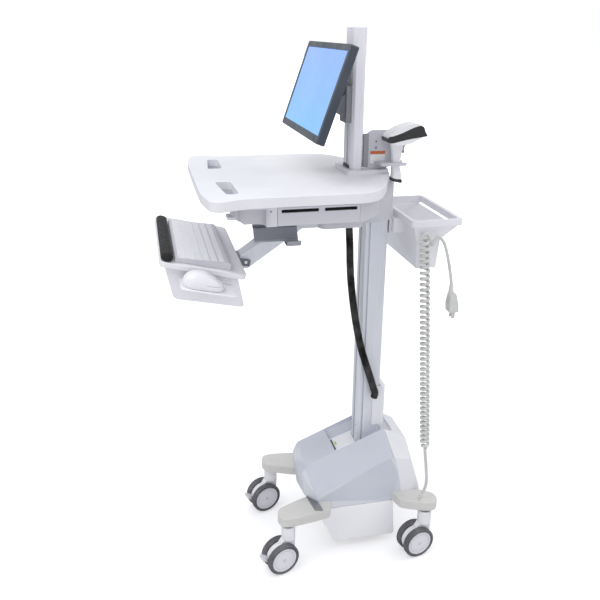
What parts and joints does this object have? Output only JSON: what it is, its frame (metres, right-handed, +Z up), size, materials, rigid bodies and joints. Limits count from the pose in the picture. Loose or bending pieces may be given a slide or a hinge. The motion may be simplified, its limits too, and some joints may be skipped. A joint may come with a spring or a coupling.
{
  "type": "medical computer cart",
  "caption": "Height-adjustable hospital computer cart: worksurface on a sliding column, tilting display, keyboard tray, rear basket, scanner holder and twin-wheel casters.",
  "frame": {"origin": "on the floor, under the middle of the whole cart", "axes": "+Z up, -Y toward the user at the keyboard, +X toward the user's right-hand side, where the mouse tray is"},
  "size_m": [0.6116, 0.8011, 1.534],
  "materials": {
    "white_plastic": "fine texture",
    "pale_plastic": "fine texture",
    "blue_grey_plastic": "fine texture",
    "cast_base": "powder coated",
    "column": "satin anodised",
    "dark_steel": "satin",
    "bright_steel": "ground",
    "dark_plastic": "fine texture",
    "display_plastic": "satin",
    "screen": "smooth",
    "tyre": "matte",
    "soft_black": "matte",
    "cord_grey": "satin"
  },
  "bodies": {
    "base": {"base_frame": "cast_base", "base_cover": "blue_grey_plastic", "rear_cover": "white_plastic", "column_plate": "white_plastic", "leg_trim_right": "dark_steel", "leg_trim_left": "dark_steel", "battery_box": "pale_plastic", "battery_pack": "dark_plastic", "power_module": "dark_steel", "riser": "column", "cable_inlet_cover": "white_plastic", "gas_spring_cylinder": "dark_steel", "hose": "soft_black", "coiled_cord": "cord_grey"},
    "caster_fr": {"caster_front_right": "white_plastic"},
    "caster_fl": {"caster_front_left": "white_plastic"},
    "caster_rr": {"caster_rear_right": "white_plastic"},
    "caster_rl": {"caster_rear_left": "white_plastic"},
    "wheel_fr_a": {"wheel_front_right_a": "tyre"},
    "wheel_fr_b": {"wheel_front_right_b": "tyre"},
    "wheel_fl_a": {"wheel_front_left_a": "tyre"},
    "wheel_fl_b": {"wheel_front_left_b": "tyre"},
    "wheel_rr_a": {"wheel_rear_right_a": "tyre"},
    "wheel_rr_b": {"wheel_rear_right_b": "tyre"},
    "wheel_rl_a": {"wheel_rear_left_a": "tyre"},
    "wheel_rl_b": {"wheel_rear_left_b": "tyre"},
    "brake_right": {"brake_pedal_right": "pale_plastic"},
    "brake_left": {"brake_pedal_left": "pale_plastic"},
    "head": {"head_body": "pale_plastic", "worksurface": "white_plastic", "side_panel_right": "pale_plastic", "side_panel_left": "pale_plastic", "cable_tray": "dark_steel", "display_column": "column", "gas_spring_rod": "bright_steel", "arm_pin_head": "bright_steel", "basket": "white_plastic", "plug_lead": "cord_grey", "scanner_bracket": "pale_plastic"},
    "release_lever": {"lift_release_lever": "white_plastic"},
    "display_slide": {"display_carriage": "dark_steel"},
    "display": {"display_tilt_plate": "dark_steel", "display_shell": "display_plastic", "display_screen": "screen"},
    "power_button": {"display_power_button": "display_plastic"},
    "tray_link": {"tray_arm": "column", "arm_pin_tray": "bright_steel"},
    "tray": {"tray_hinge": "dark_steel", "keyboard_tray": "white_plastic", "storage_box": "white_plastic", "wrist_rest": "soft_black", "keyboard": "pale_plastic", "mouse_tray_guide": "dark_steel"},
    "mouse_shelf": {"mouse_tray": "white_plastic", "mouse_body": "white_plastic"},
    "mouse_right": {"mouse_button_right": "white_plastic"},
    "mouse_left": {"mouse_button_left": "white_plastic"},
    "scroll_wheel": {"mouse_wheel": "soft_black"},
    "scanner": {"scanner_body": "white_plastic"},
    "trigger": {"scanner_trigger": "dark_plastic"}
  },
  "joints": [
    {"name": "lift", "type": "slide", "parent": "base", "child": "head", "axis": [0, 0, 1], "range_m": [-0.41, 0.05], "deforming": ["hose", "coiled_cord"]},
    {"name": "swivel_fr", "type": "hinge", "parent": "base", "child": "caster_fr", "pos_m": [0.15, -0.0775, 0.15], "axis": [0, 0, 1], "continuous": true},
    {"name": "swivel_fl", "type": "hinge", "parent": "base", "child": "caster_fl", "pos_m": [-0.15, -0.0775, 0.15], "axis": [0, 0, 1], "continuous": true},
    {"name": "swivel_rr", "type": "hinge", "parent": "base", "child": "caster_rr", "pos_m": [0.168, 0.3485, 0.15], "axis": [0, 0, 1], "continuous": true},
    {"name": "swivel_rl", "type": "hinge", "parent": "base", "child": "caster_rl", "pos_m": [-0.168, 0.3485, 0.15], "axis": [0, 0, 1], "continuous": true},
    {"name": "roll_fr_a", "type": "hinge", "parent": "caster_fr", "child": "wheel_fr_a", "pos_m": [0.15819, -0.10428, 0.05], "axis": [0.9563, 0.2924, 0], "continuous": true},
    {"name": "roll_fr_b", "type": "hinge", "parent": "caster_fr", "child": "wheel_fr_b", "pos_m": [0.15819, -0.10428, 0.05], "axis": [0.9563, 0.2924, 0], "continuous": true},
    {"name": "roll_fl_a", "type": "hinge", "parent": "caster_fl", "child": "wheel_fl_a", "pos_m": [-0.14181, -0.10428, 0.05], "axis": [0.9563, 0.2924, 0], "continuous": true},
    {"name": "roll_fl_b", "type": "hinge", "parent": "caster_fl", "child": "wheel_fl_b", "pos_m": [-0.14181, -0.10428, 0.05], "axis": [0.9563, 0.2924, 0], "continuous": true},
    {"name": "roll_rr_a", "type": "hinge", "parent": "caster_rr", "child": "wheel_rr_a", "pos_m": [0.17334, 0.32101, 0.05], "axis": [0.9816, 0.1908, 0], "continuous": true},
    {"name": "roll_rr_b", "type": "hinge", "parent": "caster_rr", "child": "wheel_rr_b", "pos_m": [0.17334, 0.32101, 0.05], "axis": [0.9816, 0.1908, 0], "continuous": true},
    {"name": "roll_rl_a", "type": "hinge", "parent": "caster_rl", "child": "wheel_rl_a", "pos_m": [-0.16266, 0.32101, 0.05], "axis": [0.9816, 0.1908, 0], "continuous": true},
    {"name": "roll_rl_b", "type": "hinge", "parent": "caster_rl", "child": "wheel_rl_b", "pos_m": [-0.16266, 0.32101, 0.05], "axis": [0.9816, 0.1908, 0], "continuous": true},
    {"name": "brake_press_right", "type": "hinge", "parent": "caster_fr", "child": "brake_right", "pos_m": [0.17164, -0.14827, 0.053], "axis": [0.9563, 0.2924, 0], "range_deg": [0, 14]},
    {"name": "brake_press_left", "type": "hinge", "parent": "caster_fl", "child": "brake_left", "pos_m": [-0.12836, -0.14827, 0.053], "axis": [0.9563, 0.2924, 0], "range_deg": [0, 14]},
    {"name": "lever_squeeze", "type": "hinge", "parent": "head", "child": "release_lever", "pos_m": [0.106, -0.1755, 1.0895], "axis": [1, 0, 0], "range_deg": [-8, 0]},
    {"name": "display_height", "type": "slide", "parent": "head", "child": "display_slide", "axis": [0, 0, 1], "range_m": [-0.062, 0.065]},
    {"name": "display_tilt", "type": "hinge", "parent": "display_slide", "child": "display", "pos_m": [0, 0.0865, 1.345], "axis": [1, 0, 0], "range_deg": [-6, 20]},
    {"name": "power_press", "type": "slide", "parent": "display", "child": "power_button", "axis": [0, 0.9415, -0.3371], "range_m": [0, 0.001]},
    {"name": "arm_swing", "type": "hinge", "parent": "head", "child": "tray_link", "pos_m": [0, -0.0275, 1.042], "axis": [1, 0, 0], "range_deg": [-12, 10]},
    {"name": "tray_tilt", "type": "hinge", "parent": "tray_link", "child": "tray", "pos_m": [0, -0.1695, 0.944], "axis": [1, 0, 0], "range_deg": [-8, 14]},
    {"name": "mouse_tray_slide", "type": "slide", "parent": "tray", "child": "mouse_shelf", "axis": [1, 0, 0], "range_m": [-0.005, 0.035]},
    {"name": "mouse_click_right", "type": "slide", "parent": "mouse_shelf", "child": "mouse_right", "axis": [0, -0.23, -0.9732], "range_m": [0, 0.0006]},
    {"name": "mouse_click_left", "type": "slide", "parent": "mouse_shelf", "child": "mouse_left", "axis": [0, -0.23, -0.9732], "range_m": [0, 0.0006]},
    {"name": "mouse_scroll", "type": "hinge", "parent": "mouse_shelf", "child": "scroll_wheel", "pos_m": [0.262, -0.27566, 0.97498], "axis": [1, 0, 0], "continuous": true},
    {"name": "scanner_slide", "type": "slide", "parent": "head", "child": "scanner", "axis": [0, 1, 0], "range_m": [0, 0.09]},
    {"name": "trigger_pull", "type": "slide", "parent": "scanner", "child": "trigger", "axis": [0, -1, 0], "range_m": [0, 0.003]}
  ]
}
